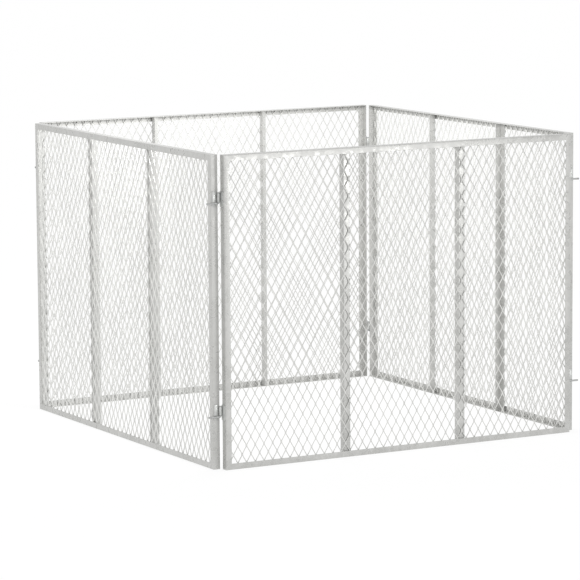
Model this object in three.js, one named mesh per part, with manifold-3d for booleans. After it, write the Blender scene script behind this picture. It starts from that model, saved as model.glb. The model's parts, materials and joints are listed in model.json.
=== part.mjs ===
// A square garden compost bin of galvanised steel, open at the top and at the bottom.
// Four like panels stand on edge round the heap. Each is a frame of folded angle sheet with one
// sheet of expanded metal behind it and two upright braces behind that. At each corner the ends
// of two panels leave an open square notch with two hook hinges in it, one above the other. The
// side panels carry the hooks, called pintles, and the front and the back panel have the eyes
// that drop on them. So these two lift off, and the empty bin folds sideways until it is flat.
// Lengths are in millimetres. The origin is at the middle of the bin, on the ground, with +Z up.

import * as THREE from "three";
import { mergeVertices } from "three/addons/utils/BufferGeometryUtils.js";
import Module from "manifold-3d";

const wasm = await Module();
wasm.setup();

// Clearance between pieces that touch.
const fitGap = 0.3;

// One panel, and how far its end stands in from its neighbour's outer face.
const panelLength = 1000;
const panelHeight = 770;
const cornerSetback = 24;

// The frame's folded angle: its outer face, the flange that points into the bin, and its fold.
const frameSheet = 1.5;
const frameFace = 15;
const frameFlange = 19;
const frameFoldRadius = 2;

// The braces' folded angle. They stand at even shares of the panel's length.
const braceSheet = 1.5;
const braceLeg = 18;
const braceFoldRadius = 2;
const bracePlaceShares = [-1 / 6, 1 / 6];

// The expanded metal: its edge behind the frame, its depth, its strands and its diamonds, which
// are drawn out a little so that a whole number of them fills the sheet. The bin's own sheet has
// about 41 by 18 diamonds. This one has fewer and larger diamonds of much the same slope, with
// strands as much wider, so that it stays as open as the real one.
const meshEdgeSetback = 3;
const meshDepth = 3;
const strandWidth = 4.6;
const diamondWidth = 76.5;
const diamondHeight = 109;

// The plates of the hinges: sheet, reach from the pintle's axis, height, how far they stand
// below the pintle's foot, and their corners.
const plateSheet = 1.5;
const plateReach = 16.5;
const plateHeight = 38;
const plateDrop = 8;
const plateCornerRadius = 3;

// The eye, which is rolled from its own plate.
const eyeHeight = 20;
const eyeEndDegrees = 205;

// The pintles: a round bar, bent square, with an upright shank and a foot. At the front corners
// the foot runs out past the side panel's outer face, and at the back ones it ends just inside it.
const pintleRadius = 2.5;
const pintleClearance = 0.3;
const pintleBendRadius = 4;
const frontPintleFoot = 33;
const backPintleFoot = 19;
const pintleTail = 3;
const pintlePoint = 1;
const pintlePointRadius = 1.6;

// The upper pintles' feet below the panels' top, and the lower ones' above the ground.
const upperPintleDrop = 118;
const lowerPintleRise = 130;

const roundSides = 8;
const foldSteps = 2;
const bendSteps = 3;
const eyeSteps = 8;

// Derived places. The eye's back lies in line with its plate's back, so the pintle's axis stands
// one eye radius and one clearance in front of the panels' end flanges, at all four corners.
const eyeRadius = pintleRadius + pintleClearance + plateSheet;
const axisSetback = cornerSetback - fitGap - eyeRadius;
const outerHalf = panelLength / 2 + cornerSetback;
const axisHalf = outerHalf - axisSetback;
const pintleHeights = { upper: panelHeight - upperPintleDrop, lower: lowerPintleRise };
const eyeBottom = pintleBendRadius + fitGap;
const pintleTop = eyeBottom + eyeHeight + pintleTail;
const meshFront = frameSheet + fitGap;
const braceFront = meshFront + meshDepth + fitGap;

const frameSteel = new THREE.MeshStandardMaterial({ color: 0xb9bcb8, roughness: 0.42, metalness: 0.85 });
const meshSteel = new THREE.MeshStandardMaterial({ color: 0xc9cbc7, roughness: 0.5, metalness: 0.8 });
const hingeSteel = new THREE.MeshStandardMaterial({ color: 0xaeb2b0, roughness: 0.4, metalness: 0.9 });
const barSteel = new THREE.MeshStandardMaterial({ color: 0x9da1a1, roughness: 0.35, metalness: 0.9 });

// Gives a geometry with positions only, its shared vertices merged, ready to join or cut.
function plain(geometry) {
  const copy = geometry.clone();
  copy.deleteAttribute("normal");
  copy.deleteAttribute("uv");
  return mergeVertices(copy);
}

function toSolid(geometry) {
  const merged = plain(geometry);
  const vertProperties = new Float32Array(merged.attributes.position.array);
  const triVerts = new Uint32Array(merged.index.array);
  return new wasm.Manifold(new wasm.Mesh({ numProp: 3, vertProperties, triVerts }));
}

function toGeometry(solid) {
  const mesh = solid.getMesh();
  const geometry = new THREE.BufferGeometry();
  geometry.setAttribute("position", new THREE.BufferAttribute(mesh.vertProperties, 3));
  geometry.setIndex(new THREE.BufferAttribute(mesh.triVerts, 1));
  return geometry;
}

function named(name, geometry, material) {
  const mesh = new THREE.Mesh(geometry, material);
  mesh.name = name;
  return mesh;
}

// The mirror image of a geometry across its own YZ plane, with its faces turned the right way.
function mirrored(geometry) {
  const copy = plain(geometry);
  copy.scale(-1, 1, 1);
  const index = copy.index.array;
  for (let i = 0; i < index.length; i += 3) {
    const kept = index[i];
    index[i] = index[i + 1];
    index[i + 1] = kept;
  }
  return copy;
}

// The section of a folded angle: a leg along x, a leg along y, and a rounded fold at the origin.
function angleSection(legX, legY, sheet, foldRadius) {
  const inner = foldRadius - sheet > 0 ? foldRadius - sheet : sheet / 3;
  const shape = new THREE.Shape();
  shape.moveTo(foldRadius, 0);
  shape.lineTo(legX, 0);
  shape.lineTo(legX, sheet);
  shape.lineTo(sheet + inner, sheet);
  shape.absarc(sheet + inner, sheet + inner, inner, -Math.PI / 2, -Math.PI, true);
  shape.lineTo(sheet, legY);
  shape.lineTo(0, legY);
  shape.lineTo(0, foldRadius);
  shape.absarc(foldRadius, foldRadius, foldRadius, Math.PI, 1.5 * Math.PI, false);
  return shape;
}

// A bar of folded angle along z. With mitres, each end is cut at 45 degrees towards the fold,
// so that four bars close into a frame with a fine gap at each joint.
function angleBar(section, length, isMitred) {
  const geometry = new THREE.ExtrudeGeometry(section, {
    depth: length,
    steps: 1,
    bevelEnabled: false,
    curveSegments: foldSteps,
  });
  geometry.translate(0, 0, -length / 2);
  if (!isMitred) return plain(geometry);
  const place = geometry.attributes.position;
  const jointGap = fitGap / Math.SQRT2;
  for (let i = 0; i < place.count; i += 1) {
    const reach = length / 2 - place.getX(i) - jointGap;
    place.setZ(i, Math.sign(place.getZ(i)) * reach);
  }
  return plain(geometry);
}

// The sheet of expanded metal in the XZ plane, front face at y = 0. Strands of three-sided
// section cross at nodes, and those at the rim are cut off straight, as the real sheet is.
function diamondSheet(width, height) {
  const diamondsAcross = Math.round(width / diamondWidth);
  const diamondsHigh = Math.round(height / diamondHeight);
  const stepX = width / (2 * diamondsAcross);
  const stepZ = height / (2 * diamondsHigh);
  const insetX = (strandWidth / 2) * (Math.hypot(stepX, stepZ) / stepZ);
  const insetZ = insetX * (stepZ / stepX);
  const points = [];
  const faces = [];
  const point = (x, y, z) => points.push([x, y, z]) - 1;
  const quad = (a, b, c, d) => faces.push([a, b, c], [a, c, d]);

  // One strand: its flat front and its two slanting backs.
  const strand = (first, second, ridge, farFirst, farSecond, farRidge) => {
    quad(first, farFirst, farSecond, second);
    quad(farFirst, first, ridge, farRidge);
    quad(second, farSecond, farRidge, ridge);
  };

  // A point slid along a strand's slope until it meets the sheet's rim.
  const atRim = (index, signX, signZ) => {
    const [x, y, z] = points[index];
    const toSide = (width / 2 - signX * x) / stepX;
    const toEnd = (height / 2 - signZ * z) / stepZ;
    const run = Math.min(toSide, toEnd);
    return point(x + signX * run * stepX, y, z + signZ * run * stepZ);
  };

  const nodes = new Map();
  for (let i = 0; i < 2 * diamondsAcross; i += 1) {
    for (let j = i % 2; j < 2 * diamondsHigh; j += 2) {
      const x = (i + 0.5) * stepX - width / 2;
      const z = (j + 0.5) * stepZ - height / 2;
      const node = {
        right: point(x + insetX, 0, z),
        up: point(x, 0, z + insetZ),
        left: point(x - insetX, 0, z),
        down: point(x, 0, z - insetZ),
        ridge: point(x, meshDepth, z),
      };
      quad(node.right, node.up, node.left, node.down);
      nodes.set(`${i},${j}`, node);
    }
  }

  // Each slope names the corners of a node where a strand starts and of the next where it ends.
  const slopes = [
    { signX: 1, signZ: 1, start: ["right", "up"], end: ["down", "left"], isShared: false },
    { signX: 1, signZ: -1, start: ["down", "right"], end: ["left", "up"], isShared: false },
    { signX: -1, signZ: 1, start: ["up", "left"], end: ["right", "down"], isShared: true },
    { signX: -1, signZ: -1, start: ["left", "down"], end: ["up", "right"], isShared: true },
  ];
  for (const [key, node] of nodes) {
    const [i, j] = key.split(",").map(Number);
    for (const slope of slopes) {
      const first = node[slope.start[0]];
      const second = node[slope.start[1]];
      const next = nodes.get(`${i + slope.signX},${j + slope.signZ}`);
      if (next && slope.isShared) continue;
      if (next) {
        strand(first, second, node.ridge, next[slope.end[0]], next[slope.end[1]], next.ridge);
        continue;
      }
      const farFirst = atRim(first, slope.signX, slope.signZ);
      const farSecond = atRim(second, slope.signX, slope.signZ);
      const farRidge = atRim(node.ridge, slope.signX, slope.signZ);
      strand(first, second, node.ridge, farFirst, farSecond, farRidge);
      faces.push([farFirst, farRidge, farSecond]);
    }
  }
  const geometry = new THREE.BufferGeometry();
  geometry.setAttribute("position", new THREE.Float32BufferAttribute(points.flat(), 3));
  geometry.setIndex(faces.flat());
  return geometry;
}

// A hinge plate. x runs towards the pintle's axis at x = 0, y stands off the panel's end flange,
// and z is measured from the pintle's foot. Its two far corners are rounded.
function hingePlate(nearEdge) {
  const low = -plateDrop;
  const high = plateHeight - plateDrop;
  const far = -plateReach;
  const radius = plateCornerRadius;
  const outline = new THREE.Shape();
  outline.moveTo(far + radius, low);
  outline.lineTo(nearEdge, low);
  outline.lineTo(nearEdge, high);
  outline.lineTo(far + radius, high);
  outline.absarc(far + radius, high - radius, radius, Math.PI / 2, Math.PI, false);
  outline.lineTo(far, low + radius);
  outline.absarc(far + radius, low + radius, radius, Math.PI, 1.5 * Math.PI, false);
  const plate = new THREE.ExtrudeGeometry(outline, {
    depth: plateSheet,
    bevelEnabled: false,
    curveSegments: foldSteps,
  });
  plate.rotateX(Math.PI / 2);
  plate.translate(0, fitGap + plateSheet, 0);
  return plain(plate);
}

// The same plate with an eye rolled from its near edge, open round the pintle's axis.
function eyePlate() {
  const rollEnd = THREE.MathUtils.degToRad(eyeEndDegrees);
  const middle = fitGap + eyeRadius;
  const roll = new THREE.Shape();
  roll.moveTo(-plateSheet, fitGap);
  roll.lineTo(0, fitGap);
  roll.absarc(0, middle, eyeRadius, -Math.PI / 2, rollEnd, false);
  roll.absarc(0, middle, eyeRadius - plateSheet, rollEnd, -Math.PI / 2, true);
  roll.lineTo(-plateSheet, fitGap + plateSheet);
  const eye = new THREE.ExtrudeGeometry(roll, {
    depth: eyeHeight,
    bevelEnabled: false,
    curveSegments: eyeSteps,
  });
  eye.translate(0, 0, eyeBottom);
  return toGeometry(toSolid(hingePlate(0)).add(toSolid(eye)));
}

// A pintle: an upright shank on the z axis with a blunt point, a bend, and a foot along +x.
function pintle(foot) {
  const stations = [
    { x: 0, z: pintleTop, tilt: 0, radius: pintlePointRadius },
    { x: 0, z: pintleTop - pintlePoint, tilt: 0, radius: pintleRadius },
  ];
  for (let i = 0; i <= bendSteps; i += 1) {
    const tilt = (i / bendSteps) * (Math.PI / 2);
    const x = pintleBendRadius * (1 - Math.cos(tilt));
    const z = pintleBendRadius * (1 - Math.sin(tilt));
    stations.push({ x, z, tilt, radius: pintleRadius });
  }
  stations.push({ x: foot - pintlePoint, z: 0, tilt: Math.PI / 2, radius: pintleRadius });
  stations.push({ x: foot, z: 0, tilt: Math.PI / 2, radius: pintlePointRadius });

  const places = [];
  for (const { x, z, tilt, radius } of stations) {
    for (let k = 0; k < roundSides; k += 1) {
      const turn = ((k + 0.5) / roundSides) * 2 * Math.PI;
      const across = radius * Math.cos(turn);
      places.push(x + across * Math.cos(tilt), radius * Math.sin(turn), z + across * Math.sin(tilt));
    }
  }
  const index = [];
  for (let s = 0; s + 1 < stations.length; s += 1) {
    for (let k = 0; k < roundSides; k += 1) {
      const a = s * roundSides + k;
      const b = s * roundSides + ((k + 1) % roundSides);
      index.push(a, b + roundSides, b, a, a + roundSides, b + roundSides);
    }
  }
  const last = (stations.length - 1) * roundSides;
  for (let k = 1; k + 1 < roundSides; k += 1) {
    index.push(0, k, k + 1, last, last + k + 1, last + k);
  }
  const geometry = new THREE.BufferGeometry();
  geometry.setAttribute("position", new THREE.Float32BufferAttribute(places, 3));
  geometry.setIndex(index);
  return geometry;
}

const frameSection = angleSection(frameFace, frameFlange, frameSheet, frameFoldRadius);
const braceSection = angleSection(braceLeg, braceLeg, braceSheet, braceFoldRadius);
const railBar = angleBar(frameSection, panelLength, true);
const stileBar = angleBar(frameSection, panelHeight, true);
const braceBar = angleBar(braceSection, panelHeight - 2 * (frameSheet + fitGap), false);
const sheet = diamondSheet(panelLength - 2 * meshEdgeSetback, panelHeight - 2 * meshEdgeSetback);
const eyeLeaf = eyePlate();
const pintleLeaf = hingePlate(-(eyeRadius + fitGap));
const frontPintleBar = pintle(frontPintleFoot);
const backPintleBar = pintle(backPintleFoot);

// One panel, lying along x with its outer face at y = 0 and its flanges pointing to +y.
function panel({ name, leftCorner, rightCorner, hasEyes, braceSides }) {
  const group = new THREE.Group();
  const middle = panelHeight / 2;

  const topRail = named(`${name}_top_rail`, railBar, frameSteel);
  topRail.rotation.set(0, Math.PI / 2, 0);
  topRail.position.set(0, 0, panelHeight);
  group.add(topRail);

  const bottomRail = named(`${name}_bottom_rail`, railBar, frameSteel);
  bottomRail.rotation.set(0, -Math.PI / 2, 0);
  group.add(bottomRail);

  const leftStile = named(`${name}_stile_left`, stileBar, frameSteel);
  leftStile.position.set(-panelLength / 2, 0, middle);
  group.add(leftStile);

  const rightStile = named(`${name}_stile_right`, stileBar, frameSteel);
  rightStile.rotation.set(0, Math.PI, 0);
  rightStile.position.set(panelLength / 2, 0, middle);
  group.add(rightStile);

  const web = named(`${name}_mesh`, sheet, meshSteel);
  web.position.set(0, meshFront, middle);
  group.add(web);

  for (const [k, share] of bracePlaceShares.entries()) {
    const brace = named(`${name}_brace_${share < 0 ? "left" : "right"}`, braceBar, frameSteel);
    brace.rotation.set(0, braceSides[k] > 0 ? 0 : Math.PI, 0);
    brace.position.set(share * panelLength, braceFront, middle);
    group.add(brace);
  }

  const leaf = hasEyes ? eyeLeaf : pintleLeaf;
  const kind = hasEyes ? "eye" : "plate";
  for (const [level, height] of Object.entries(pintleHeights)) {
    const leftLeaf = named(`${leftCorner}_${kind}_${level}`, leaf, hingeSteel);
    leftLeaf.rotation.set(0, 0, Math.PI / 2);
    leftLeaf.position.set(-panelLength / 2, axisSetback, height);
    group.add(leftLeaf);

    const rightLeaf = named(`${rightCorner}_${kind}_${level}`, mirrored(leaf), hingeSteel);
    rightLeaf.rotation.set(0, 0, -Math.PI / 2);
    rightLeaf.position.set(panelLength / 2, axisSetback, height);
    group.add(rightLeaf);
  }
  return group;
}

// The panels in order round the bin, each named with the corners at its ends as seen from
// outside, and the side to which the face of each of its two braces lies.
const sides = [
  { name: "front", leftCorner: "front_left", rightCorner: "front_right", hasEyes: true, braceSides: [1, 1] },
  { name: "right", leftCorner: "front_right", rightCorner: "back_right", hasEyes: false, braceSides: [-1, 1] },
  { name: "back", leftCorner: "back_right", rightCorner: "back_left", hasEyes: true, braceSides: [-1, -1] },
  { name: "left", leftCorner: "back_left", rightCorner: "front_left", hasEyes: false, braceSides: [-1, -1] },
];

const corners = [
  { name: "front_left", sideX: -1, sideY: -1 },
  { name: "front_right", sideX: 1, sideY: -1 },
  { name: "back_right", sideX: 1, sideY: 1 },
  { name: "back_left", sideX: -1, sideY: 1 },
];

const bin = new THREE.Group();
sides.forEach((side, order) => {
  const turned = panel(side);
  const angle = (order * Math.PI) / 2;
  turned.rotation.set(0, 0, angle);
  turned.position.set(outerHalf * Math.sin(angle), -outerHalf * Math.cos(angle), 0);
  bin.add(turned);
});

// The pintles' feet point outwards, along the end flanges of the side panels.
for (const { name, sideX, sideY } of corners) {
  const pintleBar = sideY < 0 ? frontPintleBar : backPintleBar;
  for (const [level, height] of Object.entries(pintleHeights)) {
    const bar = named(`${name}_pintle_${level}`, pintleBar, barSteel);
    bar.rotation.set(0, 0, sideX > 0 ? 0 : Math.PI);
    bar.position.set(sideX * axisHalf, sideY * axisHalf, height);
    bin.add(bar);
  }
}

export default bin;
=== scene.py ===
"""A folding garden compost bin of galvanised steel, dressed round its fixed frame.

Lengths are in metres. Each panel is built flat, with x along it, y from its outer face into the
bin and z up, and is then turned and moved to its own side of the bin.
"""

import json
import logging
import math
from collections.abc import Sequence
from dataclasses import dataclass, field
from enum import Enum

import bmesh
import bpy
from mathutils import Matrix, Vector


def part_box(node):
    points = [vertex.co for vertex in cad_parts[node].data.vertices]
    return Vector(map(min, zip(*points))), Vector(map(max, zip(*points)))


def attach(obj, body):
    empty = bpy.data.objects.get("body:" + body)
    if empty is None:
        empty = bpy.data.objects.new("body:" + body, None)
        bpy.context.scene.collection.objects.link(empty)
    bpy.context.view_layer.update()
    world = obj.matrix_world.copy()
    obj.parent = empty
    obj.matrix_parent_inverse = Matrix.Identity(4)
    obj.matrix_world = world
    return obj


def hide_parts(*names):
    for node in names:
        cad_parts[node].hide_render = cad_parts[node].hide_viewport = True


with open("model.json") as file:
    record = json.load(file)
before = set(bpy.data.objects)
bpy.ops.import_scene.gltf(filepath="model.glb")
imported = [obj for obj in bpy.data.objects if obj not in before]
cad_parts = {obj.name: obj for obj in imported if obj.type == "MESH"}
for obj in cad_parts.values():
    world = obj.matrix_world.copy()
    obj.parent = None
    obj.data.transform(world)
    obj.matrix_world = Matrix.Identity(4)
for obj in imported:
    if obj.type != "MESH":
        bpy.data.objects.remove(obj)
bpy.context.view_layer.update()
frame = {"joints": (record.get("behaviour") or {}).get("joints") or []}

LOG = logging.getLogger("compost_bin")
MM = 0.001
SMOOTH_ANGLE = math.radians(35)
MERGE_DISTANCE = 0.002 * MM

Point = tuple[float, float]
Span = tuple[float, float]
Place = tuple[float, float, float]
Colour = tuple[float, float, float]


class Slot(Enum):
    """The record's material slots."""

    FRAME = "frame_steel"
    MESH = "mesh_steel"
    HINGE = "hinge_steel"
    BAR = "bar_steel"


class End(Enum):
    """The two ends of a panel as seen from outside the bin."""

    LEFT = -1
    RIGHT = 1


class Socket:
    """A node's output, on which Python's operators add Math nodes."""

    def __init__(self, graph: "Graph", link: bpy.types.NodeSocket) -> None:
        """Wraps one output socket of a node in a graph."""
        self.graph = graph
        self.link = link

    def _math(self, operation: str, first: "Socket | float", second: "Socket | float") -> "Socket":
        """Adds one Math node.

        Args:
            operation: The Math node's operation.
            first: Its first value.
            second: Its second value.

        Returns:
            The node's result.
        """
        settings = {"operation": operation}
        return self.graph.read("ShaderNodeMath", 0, settings, {0: first, 1: second})

    def __add__(self, other: "Socket | float") -> "Socket":
        """Adds a value."""
        return self._math("ADD", self, other)

    def __radd__(self, other: float) -> "Socket":
        """Adds this to a value."""
        return self._math("ADD", other, self)

    def __sub__(self, other: "Socket | float") -> "Socket":
        """Subtracts a value."""
        return self._math("SUBTRACT", self, other)

    def __rsub__(self, other: float) -> "Socket":
        """Subtracts this from a value."""
        return self._math("SUBTRACT", other, self)

    def __mul__(self, other: "Socket | float") -> "Socket":
        """Multiplies by a value."""
        return self._math("MULTIPLY", self, other)

    def __rmul__(self, other: float) -> "Socket":
        """Multiplies a value by this."""
        return self._math("MULTIPLY", other, self)

    def __truediv__(self, other: "Socket | float") -> "Socket":
        """Divides by a value."""
        return self._math("DIVIDE", self, other)

    def __mod__(self, other: "Socket | float") -> "Socket":
        """Takes the remainder of a division."""
        return self._math("MODULO", self, other)

    def __floordiv__(self, other: "Socket | float") -> "Socket":
        """Divides and rounds down."""
        return self._math("FLOOR", self / other, 0.0)

    def __lt__(self, other: "Socket | float") -> "Socket":
        """Gives 1 where this is the smaller."""
        return self._math("LESS_THAN", self, other)

    def clipped(self) -> "Socket":
        """Keeps the value between 0 and 1."""
        return self._math("MAXIMUM", self._math("MINIMUM", self, 1.0), 0.0)


class Graph:
    """A node tree that is being built, for a material, for the world or for geometry."""

    def __init__(self, tree: bpy.types.NodeTree) -> None:
        """Starts from an emptied tree."""
        self.tree = tree
        self.tree.nodes.clear()

    def node(
        self,
        kind: str,
        settings: dict[str, object] | None = None,
        inputs: dict[str | int, object] | None = None,
    ) -> bpy.types.Node:
        """Adds one node.

        Args:
            kind: The node's type.
            settings: The node's own settings, which are set first.
            inputs: Values or links for its input sockets, by name or place.

        Returns:
            The new node.
        """
        made = self.tree.nodes.new(kind)
        for name, value in (settings or {}).items():
            setattr(made, name, value)
        for key, value in (inputs or {}).items():
            if isinstance(value, Socket):
                self.tree.links.new(value.link, made.inputs[key])
            else:
                made.inputs[key].default_value = value
        return made

    def read(
        self,
        kind: str,
        output: str | int,
        settings: dict[str, object] | None = None,
        inputs: dict[str | int, object] | None = None,
    ) -> Socket:
        """Adds one node and gives one of its outputs, named or numbered."""
        return Socket(self, self.node(kind, settings, inputs).outputs[output])

    def blend(self, factor: Socket, low: Colour, high: Colour) -> Socket:
        """Mixes two colours.

        Args:
            factor: 0 for the low colour and 1 for the high one.
            low: The low colour, linear.
            high: The high colour, linear.

        Returns:
            The mixed colour.
        """
        settings = {"data_type": "RGBA", "blend_type": "MIX"}
        inputs = {0: factor, 6: (*low, 1.0), 7: (*high, 1.0)}
        return self.read("ShaderNodeMix", 2, settings, inputs)

    def noise(self, place: Socket, size: float, detail: float = 2.0) -> Socket:
        """Gives cloudy noise from 0 to 1 whose lumps are about one size across."""
        inputs = {"Vector": place, "Scale": 1.0 / size, "Detail": detail}
        return self.read("ShaderNodeTexNoise", "Fac", None, inputs)


@dataclass(frozen=True)
class Zinc:
    """A hot-dip galvanised finish: pale grey zinc with crystals, clouds and fine grain."""

    slot: Slot
    dark: Colour
    light: Colour
    crystal: float
    contrast: float
    roughness: float
    metallic: float
    grain: float

    CLOUD_SIZE = 70 * MM
    CLOUD_TONE = 1.6
    CLOUD_DULLING = 0.3
    RUN_STRETCH = (1.0, 1.0, 0.09)
    RUN_WIDTH = 11 * MM
    RUN_TONE = 0.8
    RUN_RELIEF = 0.5
    GRAIN_SIZE = 1.1 * MM
    GRAIN_TONE = 0.2
    CRYSTAL_DULLING = 0.14
    CRYSTAL_RELIEF = 0.25
    BUMP_HEIGHT = 0.25 * MM
    BUMP_STRENGTH = 0.35
    MIDDLE = 0.5

    def material(self) -> bpy.types.Material:
        """Builds the finish as a procedural material.

        Returns:
            The material, named after its slot.
        """
        made = bpy.data.materials.new(self.slot.value)
        made.use_nodes = True
        graph = Graph(made.node_tree)
        place = graph.read("ShaderNodeTexCoord", "Object")
        long_place = graph.read(
            "ShaderNodeVectorMath", 0, {"operation": "MULTIPLY"}, {0: place, 1: self.RUN_STRETCH}
        )
        cell = graph.read(
            "ShaderNodeTexVoronoi", "Color", None, {"Vector": place, "Scale": 1.0 / self.crystal}
        )
        crystal = graph.read("ShaderNodeSeparateColor", 0, None, {0: cell})
        cloud = graph.noise(place, self.CLOUD_SIZE, 3.0)
        runs = graph.noise(long_place, self.RUN_WIDTH)
        grain = graph.noise(place, self.GRAIN_SIZE)

        tone = (
            self.MIDDLE
            + self.contrast * (crystal - self.MIDDLE)
            + self.CLOUD_TONE * (cloud - self.MIDDLE)
            + self.RUN_TONE * (runs - self.MIDDLE)
            + self.GRAIN_TONE * (grain - self.MIDDLE)
        ).clipped()
        colour = graph.blend(tone, self.dark, self.light)
        roughness = (
            self.roughness
            + self.CRYSTAL_DULLING * (crystal - self.MIDDLE)
            + self.CLOUD_DULLING * (cloud - self.MIDDLE)
        ).clipped()
        height = self.grain * grain + self.CRYSTAL_RELIEF * crystal + self.RUN_RELIEF * runs
        normal = graph.read(
            "ShaderNodeBump",
            0,
            None,
            {"Strength": self.BUMP_STRENGTH, "Distance": self.BUMP_HEIGHT, "Height": height},
        )
        shader = graph.read(
            "ShaderNodeBsdfPrincipled",
            0,
            None,
            {
                "Base Color": colour,
                "Roughness": roughness,
                "Metallic": self.metallic,
                "Normal": normal,
            },
        )
        graph.node("ShaderNodeOutputMaterial", None, {"Surface": shader})
        return made


def finishes() -> dict[Slot, bpy.types.Material]:
    """Makes the four finishes of the bin.

    Returns:
        The finishes by slot.
    """
    kinds = (
        Zinc(
            Slot.FRAME,
            dark=(0.465, 0.465, 0.45),
            light=(0.565, 0.565, 0.55),
            crystal=9 * MM,
            contrast=0.4,
            roughness=0.32,
            metallic=0.4,
            grain=0.2,
        ),
        Zinc(
            Slot.MESH,
            dark=(0.62, 0.62, 0.602),
            light=(0.77, 0.77, 0.75),
            crystal=14 * MM,
            contrast=0.4,
            roughness=0.38,
            metallic=0.35,
            grain=0.3,
        ),
        Zinc(
            Slot.HINGE,
            dark=(0.44, 0.448, 0.435),
            light=(0.64, 0.648, 0.635),
            crystal=6 * MM,
            contrast=0.5,
            roughness=0.32,
            metallic=0.7,
            grain=0.3,
        ),
        Zinc(
            Slot.BAR,
            dark=(0.34, 0.345, 0.34),
            light=(0.52, 0.525, 0.52),
            crystal=5 * MM,
            contrast=0.3,
            roughness=0.3,
            metallic=0.8,
            grain=0.2,
        ),
    )
    return {kind.slot: kind.material() for kind in kinds}


def arc(centre: Point, radius: float, start: float, end: float, steps: int) -> list[Point]:
    """Gives the points of an arc.

    Args:
        centre: The arc's centre.
        radius: Its radius.
        start: Its first angle, in degrees.
        end: Its last angle, in degrees.
        steps: How many chords it has.

    Returns:
        Its points, both ends among them.
    """
    angles = (math.radians(start + (end - start) * k / steps) for k in range(steps + 1))
    return [(centre[0] + radius * math.cos(a), centre[1] + radius * math.sin(a)) for a in angles]


def closed_mesh(
    name: str, points: Sequence[Sequence[float]], faces: Sequence[Sequence[int]]
) -> bpy.types.Mesh:
    """Makes a mesh from points and faces, with its doubles merged and its faces pointing out.

    Args:
        name: The mesh's name.
        points: Its points.
        faces: Its faces, as places in the list of points.

    Returns:
        The mesh.
    """
    mesh = bpy.data.meshes.new(name)
    mesh.from_pydata([tuple(p) for p in points], [], [tuple(f) for f in faces])
    return tidied(mesh)


def tidied(mesh: bpy.types.Mesh) -> bpy.types.Mesh:
    """Merges a mesh's doubles, closes its holes and turns its faces outwards, in place.

    Args:
        mesh: The mesh.

    Returns:
        The same mesh.
    """
    work = bmesh.new()
    work.from_mesh(mesh)
    bmesh.ops.remove_doubles(work, verts=work.verts, dist=MERGE_DISTANCE)
    rims = [edge for edge in work.edges if edge.is_boundary]
    if rims:
        bmesh.ops.holes_fill(work, edges=rims, sides=0)
    bmesh.ops.recalc_face_normals(work, faces=work.faces)
    work.to_mesh(mesh)
    work.free()
    return mesh


def smoothed(mesh: bpy.types.Mesh, angle: float = SMOOTH_ANGLE) -> bpy.types.Mesh:
    """Shades a mesh smooth except across its sharp edges, in place.

    Args:
        mesh: The mesh.
        angle: The angle past which an edge is sharp.

    Returns:
        The same mesh.
    """
    mesh.shade_smooth()
    mesh.set_sharp_from_angle(angle=angle)
    return mesh


def thickened(
    name: str, back: Sequence[Vector], front: Sequence[Vector], faces: Sequence[Sequence[int]]
) -> bpy.types.Mesh:
    """Makes a closed piece of sheet from its two sides.

    Args:
        name: The mesh's name.
        back: The points of its back.
        front: The same points on its front.
        faces: The faces of the back.

    Returns:
        The closed mesh.
    """
    count = len(back)
    uses: dict[tuple[int, int], int] = {}
    for face in faces:
        for a, b in zip(face, (*face[1:], face[0])):
            key = (min(a, b), max(a, b))
            uses[key] = uses.get(key, 0) + 1
    walls = [(a, b, b + count, a + count) for (a, b), used in uses.items() if used == 1]
    fronts = [tuple(i + count for i in reversed(face)) for face in faces]
    return closed_mesh(name, [*back, *front], [*map(tuple, faces), *fronts, *walls])


def bevelled(mesh: bpy.types.Mesh, width: float, segments: int = 2) -> bpy.types.Mesh:
    """Rounds a mesh's sharp edges.

    Args:
        mesh: The mesh.
        width: The width of the rounding.
        segments: The steps across it.

    Returns:
        A new mesh with rounded edges.
    """
    carrier = bpy.data.objects.new(mesh.name, mesh)
    bpy.context.scene.collection.objects.link(carrier)
    bevel = carrier.modifiers.new("edge", "BEVEL")
    bevel.width = width
    bevel.segments = segments
    bevel.limit_method = "ANGLE"
    bevel.angle_limit = SMOOTH_ANGLE
    graph = bpy.context.evaluated_depsgraph_get()
    made = bpy.data.meshes.new_from_object(carrier.evaluated_get(graph))
    bpy.data.objects.remove(carrier)
    return made


def placed(mesh: bpy.types.Mesh, matrix: Matrix) -> bpy.types.Mesh:
    """Copies a mesh to a place, with its faces kept outwards if the place mirrors it.

    Args:
        mesh: The mesh.
        matrix: The place.

    Returns:
        The copy.
    """
    copy = mesh.copy()
    copy.transform(matrix)
    if matrix.determinant() < 0:
        copy.flip_normals()
    return copy


def axes(
    x: Sequence[float], y: Sequence[float], z: Sequence[float], origin: Sequence[float]
) -> Matrix:
    """Gives the matrix that takes the three axes and the origin to new ones.

    Args:
        x: The new x axis.
        y: The new y axis.
        z: The new z axis.
        origin: The new origin.

    Returns:
        The matrix.
    """
    columns = [Vector(c) for c in (x, y, z, origin)]
    rows = [[column[k] for column in columns] for k in range(3)]
    return Matrix([*rows, [0.0, 0.0, 0.0, 1.0]])


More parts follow.
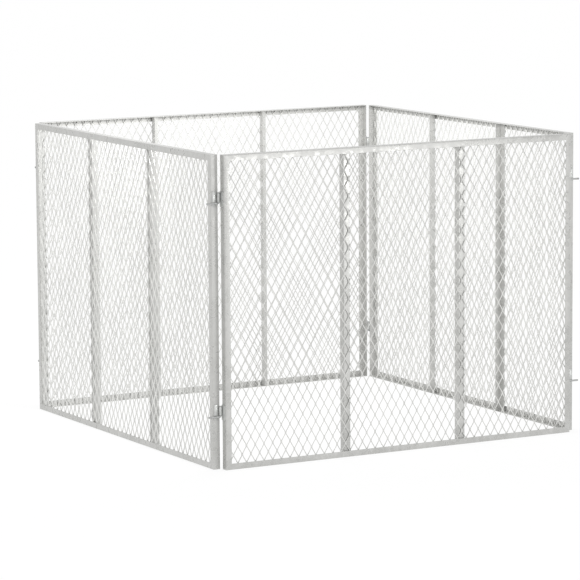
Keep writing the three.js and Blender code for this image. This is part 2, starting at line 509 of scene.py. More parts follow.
class Recipe:
    """A geometry node tree with named inputs, which is run once to give a plain mesh."""

    def __init__(self, name: str, inputs: dict[str, str]) -> None:
        """Starts a tree.

        Args:
            name: The tree's name.
            inputs: The names of its inputs and their socket types.
        """
        tree = bpy.data.node_groups.new(name, "GeometryNodeTree")
        tree.interface.new_socket("Geometry", in_out="INPUT", socket_type="NodeSocketGeometry")
        for key, kind in inputs.items():
            tree.interface.new_socket(key, in_out="INPUT", socket_type=kind)
        tree.interface.new_socket("Geometry", in_out="OUTPUT", socket_type="NodeSocketGeometry")
        self.name = name
        self.graph = Graph(tree)
        self._source = self.graph.node("NodeGroupInput")

    def given(self, key: str) -> Socket:
        """Gives one of the tree's inputs."""
        return Socket(self.graph, self._source.outputs[key])

    def finish(self, shape: Socket, material: bpy.types.Material) -> None:
        """Ends the tree in real geometry with a material.

        Args:
            shape: The geometry.
            material: Its material.
        """
        real = self.graph.read("GeometryNodeRealizeInstances", 0, None, {0: shape})
        inputs = {"Geometry": real, "Material": material}
        dressed = self.graph.read("GeometryNodeSetMaterial", 0, None, inputs)
        self.graph.node("NodeGroupOutput", None, {0: dressed})

    def run(self, values: dict[str, object], start: bpy.types.Mesh | None = None) -> bpy.types.Mesh:
        """Runs the tree.

        Args:
            values: The values of its named inputs.
            start: The mesh it starts from, if it needs one.

        Returns:
            The plain mesh that it makes.
        """
        carrier = bpy.data.objects.new(self.name, start or bpy.data.meshes.new(self.name))
        bpy.context.scene.collection.objects.link(carrier)
        modifier = carrier.modifiers.new(self.name, "NODES")
        modifier.node_group = self.graph.tree
        for item in self.graph.tree.interface.items_tree:
            if item.in_out == "INPUT" and item.name in values:
                modifier[item.identifier] = values[item.name]
        graph = bpy.context.evaluated_depsgraph_get()
        made = bpy.data.meshes.new_from_object(carrier.evaluated_get(graph))
        carrier.modifiers.remove(modifier)
        bpy.data.objects.remove(carrier)
        return made


@dataclass(frozen=True)
class Plan:
    """The bin's main places, read from the fixed frame."""

    half: float
    length: float
    height: float
    axis: float
    levels: tuple[float, ...]

    @classmethod
    def read(cls, plate_drop: float) -> "Plan":
        """Reads the places from the frame's nodes and joints.

        Args:
            plate_drop: How far a hinge plate reaches below its pintle's foot.

        Returns:
            The plan.
        """
        low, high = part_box("front_top_rail")
        stile_low, stile_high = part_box("front_stile_left")
        fold = next(joint for joint in frame["joints"] if joint["name"] == "right_fold")
        plates = ("front_left_eye_upper", "front_left_eye_lower")
        levels = tuple(round(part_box(node)[0].z + plate_drop, 6) for node in plates)
        length = 2 * abs(stile_low.x)
        return cls(-low.y, length, high.z, fold["pos_m"][0], levels)

    @property
    def axis_depth(self) -> float:
        """How far the hinge axes stand in from the outer faces."""
        return self.half - self.axis

    def side(self, order: int) -> Matrix:
        """Gives the matrix that takes a panel to its side of the bin."""
        turn = Matrix.Rotation(math.radians(90 * order), 4, "Z")
        return turn @ Matrix.Translation((0.0, -self.half, 0.0))


@dataclass
class Piece:
    """A finished piece of the bin and what it stands for."""

    name: str
    mesh: bpy.types.Mesh
    slot: Slot
    body: str
    replaces: tuple[str, ...] = ()

    def add(self, materials: dict[Slot, bpy.types.Material]) -> bpy.types.Object:
        """Puts the piece into the scene, on its body.

        Args:
            materials: The finishes by slot.

        Returns:
            The piece's object.
        """
        self.mesh.materials.clear()
        self.mesh.materials.append(materials[self.slot])
        made = bpy.data.objects.new(self.name, self.mesh)
        bpy.context.scene.collection.objects.link(made)
        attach(made, self.body)
        if self.replaces:
            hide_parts(*self.replaces)
        LOG.info("%s: %d faces on %s", self.name, len(self.mesh.polygons), self.body)
        return made


@dataclass(frozen=True)
class AngleBar:
    """A bar of folded angle sheet with a rounded fold and softened free edges."""

    face: float
    flange: float
    sheet: float = 1.5 * MM
    fold: float = 2.0 * MM
    edge: float = 0.25 * MM
    steps: int = 8

    def section(self) -> list[Point]:
        """Gives the outline of the bar's section.

        Returns:
            Its points, with the fold at the origin, the face along x and the flange along y.
        """
        edge = self.edge
        inner = self.fold - self.sheet
        inner_centre = (self.sheet + inner, self.sheet + inner)
        return [
            (self.face - edge, 0.0),
            (self.face, edge),
            (self.face, self.sheet - edge),
            (self.face - edge, self.sheet),
            *arc(inner_centre, inner, 270, 180, self.steps),
            (self.sheet, self.flange - edge),
            (self.sheet - edge, self.flange),
            (edge, self.flange),
            (0.0, self.flange - edge),
            *arc((self.fold, self.fold), self.fold, 180, 270, self.steps),
        ]

    def mesh(self, name: str, length: float, mitre_gap: float | None) -> bpy.types.Mesh:
        """Makes the bar along z.

        Args:
            name: The mesh's name.
            length: The bar's length over all.
            mitre_gap: The gap left at each mitred end, or None for square ends.

        Returns:
            The bar's mesh.
        """
        section = self.section()
        count = len(section)
        points = []
        for sign in (-1, 1):
            for across, deep in section:
                cut = 0.0 if mitre_gap is None else across + mitre_gap
                points.append((across, deep, sign * (length / 2 - cut)))
        faces = [tuple(range(count)), tuple(range(2 * count - 1, count - 1, -1))]
        for k in range(count):
            after = (k + 1) % count
            faces.append((k, after, after + count, k + count))
        return smoothed(closed_mesh(name, points, faces))


@dataclass(frozen=True)
class ExpandedSheet:
    """The sheet of expanded metal: slit and stretched steel with slanting strands."""

    setback: float = 3 * MM
    front: float = 1.8 * MM
    diamond_width: float = 24.4 * MM
    diamond_height: float = 42.6 * MM
    strand: float = 2.6 * MM
    sheet: float = 1.2 * MM
    tilt: float = math.radians(20)
    bond: float = 3.4 * MM
    bend_share: float = 0.2
    bend_reach_share: float = 0.14
    merge: float = 0.01 * MM
    bead: float = 1.2 * MM
    bead_share: float = 0.07
    bead_scale: Span = (0.6, 1.15)
    bead_shape: tuple[float, float, float] = (1.0, 0.75, 1.5)
    seed: int = 7

    @property
    def depth(self) -> float:
        """The depth of the sheet from its front to its back."""
        return 2 * self.strand * math.sin(self.tilt) + self.sheet * math.cos(self.tilt)

    def cell(self, step_x: float, step_z: float) -> bpy.types.Mesh:
        """Makes one crossing with the near halves of its four strands.

        Args:
            step_x: Half a diamond's width.
            step_z: Half a diamond's height.

        Returns:
            The mesh of the crossing, open at the strands' far ends.
        """
        along = Vector((math.cos(self.tilt), math.sin(self.tilt), 0.0))
        through = Vector((-math.sin(self.tilt), math.cos(self.tilt), 0.0)) * (self.sheet / 2)
        points: list[Vector] = []
        faces: list[tuple[int, ...]] = []

        def ring(centre: Vector, inner: float, outer: float) -> list[int]:
            """Adds the four corners of a strand's section.

            Args:
                centre: The section's centre.
                inner: Where it starts along the strand's slant.
                outer: Where it ends there.

            Returns:
                The corners' places in the list of points.
            """
            first = len(points)
            for reach, sign in ((inner, -1), (outer, -1), (outer, 1), (inner, 1)):
                points.append(centre + along * reach + through * sign)
            return [first, first + 1, first + 2, first + 3]

        for up in (-1, 1):
            for side in (-1, 1):
                base = Vector((0.0, 0.0, up * self.bond / 2))
                rings = [ring(base, 0.0, side * self.strand)]
                start = along * (side * self.strand / 2)
                end = Vector((side * step_x / 2, 0.0, 0.0))
                for rise, reach in ((self.bend_share, self.bend_reach_share), (1.0, 1.0)):
                    middle = start.lerp(end, reach)
                    middle.z = up * (self.bond / 2 + rise * (step_z - self.bond) / 2)
                    half = side * self.strand / 2
                    rings.append(ring(middle, -half, half))
                for near, far in zip(rings, rings[1:]):
                    for k in range(4):
                        after = (k + 1) % 4
                        faces.append((near[k], near[after], far[after], far[k]))
        for side in (-1, 1):
            lower = ring(Vector((0.0, 0.0, -self.bond / 2)), 0.0, side * self.strand)
            upper = ring(Vector((0.0, 0.0, self.bond / 2)), 0.0, side * self.strand)
            for k in range(3):
                faces.append((lower[k], lower[k + 1], upper[k + 1], upper[k]))
        mesh = bpy.data.meshes.new("crossing")
        mesh.from_pydata([tuple(p) for p in points], [], faces)
        return mesh

    def recipe(self, material: bpy.types.Material) -> Recipe:
        """Builds the tree that repeats the crossing over the sheet, and adds beads of zinc.

        Args:
            material: The sheet's finish.

        Returns:
            The tree.
        """
        kinds = {
            "Crossing": "NodeSocketObject",
            "Columns": "NodeSocketInt",
            "Rows": "NodeSocketInt",
            "Step X": "NodeSocketFloat",
            "Step Z": "NodeSocketFloat",
            "Bead Size": "NodeSocketFloat",
            "Bead Share": "NodeSocketFloat",
            "Bead Drop": "NodeSocketFloat",
            "Seed": "NodeSocketInt",
        }
        recipe = Recipe("expanded_sheet", kinds)
        graph = recipe.graph
        columns = recipe.given("Columns")
        rows = recipe.given("Rows")
        lattice = graph.read(
            "GeometryNodeMeshGrid",
            "Mesh",
            None,
            {
                "Size X": recipe.given("Step X") * (columns - 1),
                "Size Y": recipe.given("Step Z") * (rows - 1),
                "Vertices X": columns,
                "Vertices Y": rows,
            },
        )
        index = graph.read("GeometryNodeInputIndex", 0)
        column = index // rows
        row = index - column * rows
        chosen = ((column + row) % 2) < 0.5
        upright = graph.read(
            "GeometryNodeTransform", 0, None, {"Geometry": lattice, "Rotation": (math.pi / 2, 0.0, 0.0)}
        )
        crossing = graph.read(
            "GeometryNodeObjectInfo", "Geometry", None, {"Object": recipe.given("Crossing")}
        )
        strands = graph.read(
            "GeometryNodeInstanceOnPoints",
            0,
            None,
            {"Points": upright, "Selection": chosen, "Instance": crossing},
        )
        bead = graph.read(
            "GeometryNodeMeshIcoSphere", 0, None, {"Radius": recipe.given("Bead Size"), "Subdivisions": 2}
        )
        lucky = graph.read(
            "FunctionNodeRandomValue",
            3,
            {"data_type": "BOOLEAN"},
            {"Probability": recipe.given("Bead Share"), "Seed": recipe.given("Seed")},
        )
        size = graph.read(
            "FunctionNodeRandomValue",
            1,
            {"data_type": "FLOAT"},
            {2: self.bead_scale[0], 3: self.bead_scale[1], "Seed": recipe.given("Seed")},
        )
        stretch = {k: size * share for k, share in enumerate(self.bead_shape)}
        shape = graph.read("ShaderNodeCombineXYZ", 0, None, stretch)
        offset = graph.read(
            "ShaderNodeCombineXYZ", 0, None, {2: recipe.given("Bead Drop") * -1.0}
        )
        lowered = graph.read(
            "GeometryNodeSetPosition", 0, None, {"Geometry": upright, "Offset": offset}
        )
        both = graph.read(
            "FunctionNodeBooleanMath", 0, {"operation": "AND"}, {0: chosen, 1: lucky}
        )
        beads = graph.read(
            "GeometryNodeInstanceOnPoints",
            0,
            None,
            {"Points": lowered, "Selection": both, "Instance": bead, "Scale": shape},
        )
        real = graph.read("GeometryNodeRealizeInstances", 0, None, {0: strands})
        welded = graph.read(
            "GeometryNodeMergeByDistance", 0, None, {"Geometry": real, "Distance": self.merge}
        )
        joined = graph.node("GeometryNodeJoinGeometry")
        for part in (welded, beads):
            graph.tree.links.new(part.link, joined.inputs[0])
        recipe.finish(Socket(graph, joined.outputs[0]), material)
        return recipe

    def mesh(self, plan: Plan, material: bpy.types.Material) -> bpy.types.Mesh:
        """Makes the sheet in a panel's own space.

        Args:
            plan: The bin's plan.
            material: The sheet's finish.

        Returns:
            The sheet's mesh.
        """
        width = plan.length - 2 * self.setback
        height = plan.height - 2 * self.setback
        across = round(width / self.diamond_width)
        high = round(height / self.diamond_height)
        step_x = width / (2 * across)
        step_z = height / (2 * high)
        unit = bpy.data.objects.new("crossing", self.cell(step_x, step_z))
        bpy.context.scene.collection.objects.link(unit)
        values = {
            "Crossing": unit,
            "Columns": 2 * across,
            "Rows": 2 * high,
            "Step X": step_x,
            "Step Z": step_z,
            "Bead Size": self.bead,
            "Bead Share": self.bead_share,
            "Bead Drop": self.bond / 2,
            "Seed": self.seed,
        }
        made = self.recipe(material).run(values)
        bpy.data.objects.remove(unit)
        made.transform(Matrix.Translation((0.0, self.front + self.depth / 2, plan.height / 2)))
        return tidied(made)


@dataclass(frozen=True)
class Hinge:
    """A hook hinge: a plate with a rolled eye, a plate with a bent bar, and their welds."""

    sheet: float = 1.5 * MM
    reach: float = 16.5 * MM
    height: float = 38 * MM
    drop: float = 8 * MM
    corner: float = 3 * MM
    eye_height: float = 20 * MM
    eye_end: float = 205.0
    radius: float = 2.5 * MM
    clearance: float = 0.3 * MM
    bend: float = 4 * MM
    front_foot: float = 33 * MM
    back_foot: float = 19 * MM
    tail: float = 3 * MM
    seat: float = 0.3 * MM
    edge: float = 0.3 * MM
    round_off: float = 1.2 * MM
    corner_steps: int = 6
    eye_steps: int = 28
    round_steps: int = 4
    bend_steps: int = 12
    sides: int = 24

    @property
    def eye_radius(self) -> float:
        """The outer radius of the rolled eye."""
        return self.radius + self.clearance + self.sheet

    @property
    def eye_low(self) -> float:
        """The height of the eye's lower end over the pintle's foot."""
        return self.bend + self.seat

    def _outline(self, near: float, stops: Sequence[float]) -> list[Point]:
        """Gives a plate's outline, as x and z.

        Args:
            near: The x of its near edge.
            stops: The heights of extra points up that edge.

        Returns:
            The outline's points.
        """
        low = -self.drop
        high = self.height - self.drop
        far = self.corner - self.reach
        return [
            (far, low),
            (near, low),
            *((near, stop) for stop in stops),
            (near, high),
            *arc((far, high - self.corner), self.corner, 90, 180, self.corner_steps),
            *arc((far, low + self.corner), self.corner, 180, 270, self.corner_steps)[:-1],
        ]

    def pintle_plate(self) -> bpy.types.Mesh:
        """Makes the flat plate that carries a pintle.

        Returns:
            The plate's mesh, in hinge space.
        """
        outline = self._outline(-(self.eye_radius + self.seat), ())
        back = [Vector((x, self.seat, z)) for x, z in outline]
        front = [point + Vector((0.0, self.sheet, 0.0)) for point in back]
        face = [tuple(range(len(back)))]
        return smoothed(bevelled(thickened("pintle_plate", back, front, face), self.edge))

    def eye_plate(self) -> bpy.types.Mesh:
        """Makes the plate whose near edge is rolled into an eye.

        Returns:
            The plate's mesh, in hinge space.
        """
        low = self.eye_low
        high = low + self.eye_height
        outline = self._outline(0.0, (low, high))
        back = [Vector((x, self.seat, z)) for x, z in outline]
        front = [point + Vector((0.0, self.sheet, 0.0)) for point in back]
        faces = [tuple(range(len(back)))]
        middle = (0.0, self.seat + self.eye_radius)
        outer = arc(middle, self.eye_radius, -90, self.eye_end, self.eye_steps)[1:]
        inner = arc(middle, self.eye_radius - self.sheet, -90, self.eye_end, self.eye_steps)[1:]
        last = (2, 3)
        for (x_out, y_out), (x_in, y_in) in zip(outer, inner):
            first = len(back)
            for z in (low, high):
                back.append(Vector((x_out, y_out, z)))
                front.append(Vector((x_in, y_in, z)))
            faces.append((last[0], first, first + 1, last[1]))
            last = (first, first + 1)
        return smoothed(bevelled(thickened("eye_plate", back, front, faces), self.edge))

    def pintle(self, foot: float) -> bpy.types.Mesh:
        """Makes the bent bar: a shank up the z axis, a bend, and a foot along x.

        Args:
            foot: How far the foot reaches from the shank's axis.

        Returns:
            The bar's mesh.
        """
        top = self.eye_low + self.eye_height + self.tail
        leans = [math.radians(90 * k / self.round_steps) for k in range(self.round_steps + 1)]
        tilts = [math.radians(90 * k / self.bend_steps) for k in range(self.bend_steps + 1)]
        stations: list[tuple[float, float, float, float]] = []
        for lean in leans:
            reach = self.radius - self.round_off * (1 - math.sin(lean))
            stations.append((0.0, top - self.round_off * (1 - math.cos(lean)), 0.0, reach))
        for tilt in tilts:
            x = self.bend * (1 - math.cos(tilt))
            z = self.bend * (1 - math.sin(tilt))
            stations.append((x, z, tilt, self.radius))
        for lean in leans:
            reach = self.radius - self.round_off * (1 - math.cos(lean))
            x = foot - self.round_off * (1 - math.sin(lean))
            stations.append((x, 0.0, math.pi / 2, reach))
        points = []
        for x, z, tilt, radius in stations:
            for k in range(self.sides):
                turn = 2 * math.pi * k / self.sides
                across = radius * math.cos(turn)
                points.append(
                    (x + across * math.cos(tilt), radius * math.sin(turn), z + across * math.sin(tilt))
                )
        faces: list[tuple[int, ...]] = []
        for s in range(len(stations) - 1):
            for k in range(self.sides):
                a = s * self.sides + k
                b = s * self.sides + (k + 1) % self.sides
                faces.append((a, b, b + self.sides, a + self.sides))
        last = (len(stations) - 1) * self.sides
        faces.append(tuple(range(self.sides)))
        faces.append(tuple(range(last, last + self.sides)))
        return smoothed(closed_mesh("pintle", points, faces))

    def plate_welds(self) -> list[tuple[Vector, Vector]]:
        """Gives the lines of the welds that hold a plate to its flange.

        Returns:
            The ends of each line, in hinge space.
        """
        low = self.corner - self.drop
        high = self.height - self.drop - self.corner
        x = -self.reach
        y = self.seat
        return [(Vector((x, y, low)), Vector((x, y, high)))]

    def foot_welds(self) -> list[tuple[Vector, Vector]]:
        """Gives the lines of the welds on both sides of a pintle's foot.

        Returns:
            The ends of each line, in hinge space.
        """
        near = -(self.eye_radius + self.seat + self.edge)
        far = -(self.reach - self.corner)
        y = self.seat + self.sheet + self.seat
        return [
            (Vector((near, y, side * self.radius)), Vector((far, y, side * self.radius)))
            for side in (-1, 1)
        ]


@dataclass
class Welds:
    """Beads of weld metal along short lines, made of overlapping ripples."""

    ripple: float = 1.0 * MM
    spacing: float = 0.75 * MM
    scale: Span = (0.85, 1.1)
    seed: int = 3
    lines: dict[str, list[tuple[Vector, Vector]]] = field(default_factory=dict)

    def add(self, body: str, lines: Sequence[tuple[Vector, Vector]], place: Matrix) -> None:
        """Notes welds on a body.

        Args:
            body: The body that they ride on.
            lines: Their lines in a local space.
            place: The matrix from that space to the bin's.
        """
        noted = self.lines.setdefault(body, [])
        noted.extend((place @ start, place @ end) for start, end in lines)

    def recipe(self, material: bpy.types.Material) -> Recipe:
        """Builds the tree that sets ripples along the lines.

        Args:
            material: The welds' finish.

        Returns:
            The tree.
        """
        kinds = {"Ripple": "NodeSocketFloat", "Spacing": "NodeSocketFloat", "Seed": "NodeSocketInt"}
        recipe = Recipe("weld_beads", kinds)
        graph = recipe.graph
        line = graph.read("GeometryNodeMeshToCurve", 0, None, {"Mesh": recipe.given("Geometry")})
        spaced = graph.read(
            "GeometryNodeResampleCurve",
            0,
            {"mode": "LENGTH"},
            {"Curve": line, "Length": recipe.given("Spacing")},
        )
        drop = graph.read(
            "GeometryNodeMeshIcoSphere", 0, None, {"Radius": recipe.given("Ripple"), "Subdivisions": 2}
        )
        size = graph.read(
            "FunctionNodeRandomValue",
            1,
            {"data_type": "FLOAT"},
            {2: self.scale[0], 3: self.scale[1], "Seed": recipe.given("Seed")},
        )
        even = graph.read("ShaderNodeCombineXYZ", 0, None, {0: size, 1: size, 2: size})
        beads = graph.read(
            "GeometryNodeInstanceOnPoints",
            0,
            None,
            {"Points": spaced, "Instance": drop, "Scale": even},
        )
        recipe.finish(beads, material)
        return recipe

    def pieces(self, material: bpy.types.Material) -> list[Piece]:
        """Makes one piece of weld beads for each body.

        Args:
            material: The welds' finish.

        Returns:
            The pieces.
        """
        recipe = self.recipe(material)
        made = []
        for body, lines in self.lines.items():
            points = [tuple(point) for line in lines for point in line]
            edges = [(2 * k, 2 * k + 1) for k in range(len(lines))]
            path = bpy.data.meshes.new("weld_lines")
            path.from_pydata(points, edges, [])
            values = {"Ripple": self.ripple, "Spacing": self.spacing, "Seed": self.seed}
            mesh = smoothed(recipe.run(values, path), math.pi)
            made.append(Piece(f"{body}_welds", mesh, Slot.FRAME, body))
        return made


@dataclass
class Panel:
    """One side of the bin: a mitred frame of angle, a sheet, two braces and its hinge plates."""

    name: str
    order: int
    corners: dict[End, str]
    has_eyes: bool
    brace_sides: tuple[int, int]

    FRAME_BAR = AngleBar(15 * MM, 19 * MM)
    BRACE_BAR = AngleBar(18 * MM, 18 * MM)
    BRACE_SHARES = {"left": -1 / 6, "right": 1 / 6}
    BRACE_FRONT = 5.1 * MM
    BRACE_END_GAP = 1.8 * MM
    BRACE_WELD_START = 0.2
    MITRE_GAP = 0.05 * MM
    WELD_STOP = 1.2 * MM

    @property
    def body(self) -> str:
        """The body that the panel is."""
        return f"{self.name}_panel"

    def frame_bars(self, plan: Plan) -> list[Piece]:
        """Makes the two rails and the two stiles.

        Args:
            plan: The bin's plan.

        Returns:
            The four bars.
        """
        half = plan.length / 2
        side = plan.side(self.order)
        spots = {
            "top_rail": ((0, 0, -1), (0.0, 0.0, plan.height), plan.length),
            "bottom_rail": ((0, 0, 1), (0.0, 0.0, 0.0), plan.length),
            "stile_left": ((1, 0, 0), (-half, 0.0, plan.height / 2), plan.height),
            "stile_right": ((-1, 0, 0), (half, 0.0, plan.height / 2), plan.height),
        }
        made = []
        for bar, (inwards, origin, length) in spots.items():
            deep = Vector((0, 1, 0))
            matrix = axes(inwards, deep, Vector(inwards).cross(deep), origin)
            mesh = self.FRAME_BAR.mesh(bar, length, self.MITRE_GAP)
            node = f"{self.name}_{bar}"
            made.append(Piece(f"{node}_steel", placed(mesh, side @ matrix), Slot.FRAME, self.body, (node,)))
        return made

    def braces(self, plan: Plan) -> list[Piece]:
        """Makes the two upright braces behind the sheet.

        Args:
            plan: The bin's plan.

        Returns:
            The two braces.
        """
        side = plan.side(self.order)
        made = []
        for (hand, share), face_side in zip(self.BRACE_SHARES.items(), self.brace_sides):
            across = Vector((face_side, 0, 0))
            deep = Vector((0, 1, 0))
            origin = (share * plan.length, self.BRACE_FRONT, plan.height / 2)
            matrix = axes(across, deep, across.cross(deep), origin)
            mesh = self.BRACE_BAR.mesh("brace", plan.height - 2 * self.BRACE_END_GAP, None)
            node = f"{self.name}_brace_{hand}"
            made.append(Piece(f"{node}_steel", placed(mesh, side @ matrix), Slot.FRAME, self.body, (node,)))
        return made

    def hinge_place(self, plan: Plan, end: End, level: float) -> Matrix:
        """Gives the matrix from hinge space to the bin's.

        Args:
            plan: The bin's plan.
            end: The panel's end that the hinge is at.
            level: The height of the pintle's foot.

        Returns:
            The matrix.
        """
        out = (end.value, 0.0, 0.0)
        origin = (end.value * plan.length / 2, plan.axis_depth, level)
        return plan.side(self.order) @ axes((0.0, 1.0, 0.0), out, (0.0, 0.0, 1.0), origin)

    def hinge_plates(self, plan: Plan, plates: dict[bool, bpy.types.Mesh]) -> list[Piece]:
        """Makes the panel's four hinge plates.

        Args:
            plan: The bin's plan.
            plates: The eye plate under True and the pintle's plate under False.

        Returns:
            The plates.
        """
        kind = "eye" if self.has_eyes else "plate"
        made = []
        for end, corner in self.corners.items():
            for level_name, level in zip(("upper", "lower"), plan.levels):
                mesh = placed(plates[self.has_eyes], self.hinge_place(plan, end, level))
                node = f"{corner}_{kind}_{level_name}"
                made.append(Piece(f"{node}_steel", mesh, Slot.HINGE, self.body, (node,)))
        return made

    def weld(self, plan: Plan, hinge: Hinge, welds: Welds) -> None:
        """Notes the panel's welds.

        Args:
            plan: The bin's plan.
            hinge: The sizes of the hinges.
            welds: Where they are noted.
        """
        for end in self.corners:
            for level in plan.levels:
                place = self.hinge_place(plan, end, level)
                welds.add(self.body, hinge.plate_welds(), place)
                if not self.has_eyes:
                    welds.add(self.body, hinge.foot_welds(), place)
        sheet = self.FRAME_BAR.sheet
        inner = self.FRAME_BAR.fold
        deep = self.FRAME_BAR.flange - self.WELD_STOP
        lines = []
        for x in (-plan.length / 2 + sheet, plan.length / 2 - sheet):
            for z in (sheet, plan.height - sheet):
                lines.append((Vector((x, inner, z)), Vector((x, deep, z))))
        for share, face_side in zip(self.BRACE_SHARES.values(), self.brace_sides):
            for z in (sheet, plan.height - sheet):
                x = share * plan.length
                y = self.BRACE_FRONT + self.BRACE_BAR.sheet
                far = face_side * self.BRACE_BAR.face
                near = far * self.BRACE_WELD_START
                lines.append((Vector((x + near, y, z)), Vector((x + far, y, z))))
        welds.add(self.body, lines, plan.side(self.order))


@dataclass
class Bin:
    """The whole bin."""

    hinge: Hinge = field(default_factory=Hinge)
    sheet: ExpandedSheet = field(default_factory=ExpandedSheet)
    welds: Welds = field(default_factory=Welds)

    PANELS = (
        Panel("front", 0, {End.LEFT: "front_left", End.RIGHT: "front_right"}, True, (1, 1)),
        Panel("right", 1, {End.LEFT: "front_right", End.RIGHT: "back_right"}, False, (-1, 1)),
        Panel("back", 2, {End.LEFT: "back_right", End.RIGHT: "back_left"}, True, (-1, -1)),
        Panel("left", 3, {End.LEFT: "back_left", End.RIGHT: "front_left"}, False, (-1, -1)),
    )

    def pintles(self, plan: Plan) -> list[Piece]:
        """Makes the bent bars, whose feet point outwards along the side panels' end flanges.

        Args:
            plan: The bin's plan.

        Returns:
            The eight bars.
        """
        made = []
        feet = (("front", -1, self.hinge.front_foot), ("back", 1, self.hinge.back_foot))
        for depth, sign_y, foot in feet:
            bar = self.hinge.pintle(foot)
            for hand, sign_x in (("left", -1), ("right", 1)):
                for level_name, level in zip(("upper", "lower"), plan.levels):
                    turn = Matrix.Rotation(0.0 if sign_x > 0 else math.pi, 4, "Z")
                    spot = Matrix.Translation((sign_x * plan.axis, sign_y * plan.axis, level))
                    node = f"{depth}_{hand}_pintle_{level_name}"
                    mesh = placed(bar, spot @ turn)
                    made.append(Piece(f"{node}_steel", mesh, Slot.BAR, f"{hand}_panel", (node,)))
        return made

    def build(self, materials: dict[Slot, bpy.types.Material]) -> None:
        """Makes every piece and puts it into the scene.

        Args:
            materials: The finishes by slot.
        """
        plan = Plan.read(self.hinge.drop)
        sheet = self.sheet.mesh(plan, materials[Slot.MESH])
        plates = {True: self.hinge.eye_plate(), False: self.hinge.pintle_plate()}
        pieces: list[Piece] = []
        for panel in self.PANELS:
            pieces += panel.frame_bars(plan)
            pieces += panel.braces(plan)
            pieces += panel.hinge_plates(plan, plates)
            mesh = placed(sheet, plan.side(panel.order))
            node = f"{panel.name}_mesh"
            pieces.append(Piece(f"{node}_strands", mesh, Slot.MESH, panel.body, (node,)))
            panel.weld(plan, self.hinge, self.welds)
        pieces += self.pintles(plan)
        pieces += self.welds.pieces(materials[Slot.FRAME])
        for piece in pieces:
            piece.add(materials)


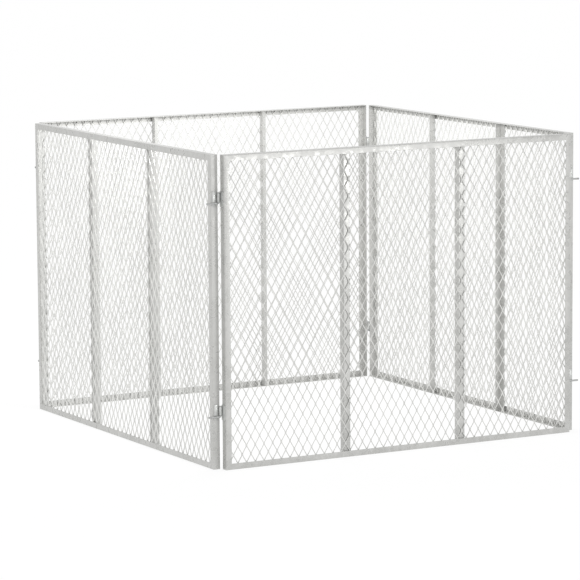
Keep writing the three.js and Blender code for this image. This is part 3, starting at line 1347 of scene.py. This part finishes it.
@dataclass(frozen=True)
class Studio:
    """The white floor, the light and the camera."""

    camera_place: Place = (-4.315, -7.716, 1.584)
    azimuth: float = 29.05
    elevation: float = 7.985
    roll: float = -0.38
    focal_pixels: float = 3405.0
    picture_pixels: float = 580.0
    sensor: float = 36.0
    sight: float = 100.0
    ambient: float = 0.92
    floor_size: float = 60.0
    floor_colour: Colour = (0.2, 0.2, 0.2)
    floor_glow: float = 0.815

    def seen(self, graph: Graph) -> Socket:
        """Gives 1 for camera, glossy and transmission rays, and 0 for the rest.

        Args:
            graph: The world's node tree.

        Returns:
            The mask.
        """
        path = graph.node("ShaderNodeLightPath")
        names = ("Is Camera Ray", "Is Glossy Ray", "Is Transmission Ray")
        first, second, third = (Socket(graph, path.outputs[name]) for name in names)
        return (first + second + third).clipped()

    def world(self) -> None:
        """Lights the scene from all sides, and shows white behind it."""
        world = bpy.data.worlds.new("studio")
        bpy.context.scene.world = world
        world.use_nodes = True
        graph = Graph(world.node_tree)
        strength = self.ambient + (1.0 - self.ambient) * self.seen(graph)
        white = (1.0, 1.0, 1.0, 1.0)
        light = graph.read("ShaderNodeBackground", 0, None, {"Color": white, "Strength": strength})
        graph.node("ShaderNodeOutputWorld", None, {"Surface": light})

    def floor(self) -> None:
        """Lays the floor of a white light table, which keeps the bin's shadow."""
        half = self.floor_size / 2
        corners = [(-half, -half, 0.0), (half, -half, 0.0), (half, half, 0.0), (-half, half, 0.0)]
        mesh = bpy.data.meshes.new("studio_floor")
        mesh.from_pydata(corners, [], [(0, 1, 2, 3)])
        material = bpy.data.materials.new("studio_floor")
        material.use_nodes = True
        graph = Graph(material.node_tree)
        colour = (*self.floor_colour, 1.0)
        matt = graph.read("ShaderNodeBsdfDiffuse", 0, None, {"Color": colour})
        glow = graph.read(
            "ShaderNodeEmission",
            0,
            None,
            {"Color": (1.0, 1.0, 1.0, 1.0), "Strength": self.floor_glow},
        )
        both = graph.read("ShaderNodeAddShader", 0, None, {0: matt, 1: glow})
        graph.node("ShaderNodeOutputMaterial", None, {"Surface": both})
        mesh.materials.append(material)
        floor = bpy.data.objects.new("studio_floor", mesh)
        bpy.context.scene.collection.objects.link(floor)

    def lamp(
        self,
        name: str,
        place: Place,
        size: tuple[float, float],
        power: float,
        aim_at: Place = (0.0, 0.0, 0.35),
        lights: bool = True,
    ) -> None:
        """Adds a soft lamp.

        Args:
            name: The lamp's name.
            place: Where it stands.
            size: Its width and its height.
            power: Its power in watts.
            aim_at: The point that it faces.
            lights: False for a lamp that is only mirrored in the steel.
        """
        light = bpy.data.lights.new(name, "AREA")
        light.shape = "RECTANGLE"
        light.size, light.size_y = size
        light.energy = power
        lamp = bpy.data.objects.new(name, light)
        lamp.location = place
        aim = Vector(aim_at) - Vector(place)
        lamp.rotation_euler = aim.to_track_quat("-Z", "Y").to_euler()
        lamp.visible_diffuse = lights
        lamp.visible_camera = False
        bpy.context.scene.collection.objects.link(lamp)

    def camera(self) -> None:
        """Sets the camera at the photograph's place and angle."""
        turn, drop, roll = (math.radians(a) for a in (self.azimuth, self.elevation, self.roll))
        ahead = Vector(
            (math.sin(turn) * math.cos(drop), math.cos(turn) * math.cos(drop), -math.sin(drop))
        )
        level = Vector((math.cos(turn), -math.sin(turn), 0.0))
        above = level.cross(ahead)
        right = level * math.cos(roll) + above * math.sin(roll)
        up = above * math.cos(roll) - level * math.sin(roll)
        data = bpy.data.cameras.new("camera")
        data.sensor_width = self.sensor
        data.lens = self.sensor * self.focal_pixels / self.picture_pixels
        data.clip_end = self.sight
        camera = bpy.data.objects.new("camera", data)
        camera.matrix_world = axes(right, up, -ahead, self.camera_place)
        bpy.context.scene.collection.objects.link(camera)
        bpy.context.scene.camera = camera

    def build(self) -> None:
        """Sets up the whole studio."""
        bpy.context.scene.view_settings.view_transform = "Standard"
        self.camera()
        self.world()
        self.floor()
        self.lamp("key", (-3.0, -5.2, 3.4), (3.0, 3.0), 24.0)
        self.lamp("mirrored", (1.8, -4.2, 0.4), (0.8, 0.5), 13.0, lights=False)
        self.lamp("inner", (-0.1, -0.25, 1.1), (0.35, 0.35), 7.5, (0.0, 0.6, 0.65))


def main() -> None:
    logging.basicConfig(level=logging.INFO, format="%(message)s")
    Studio().build()
    Bin().build(finishes())


if __name__ == "__main__":
    main()
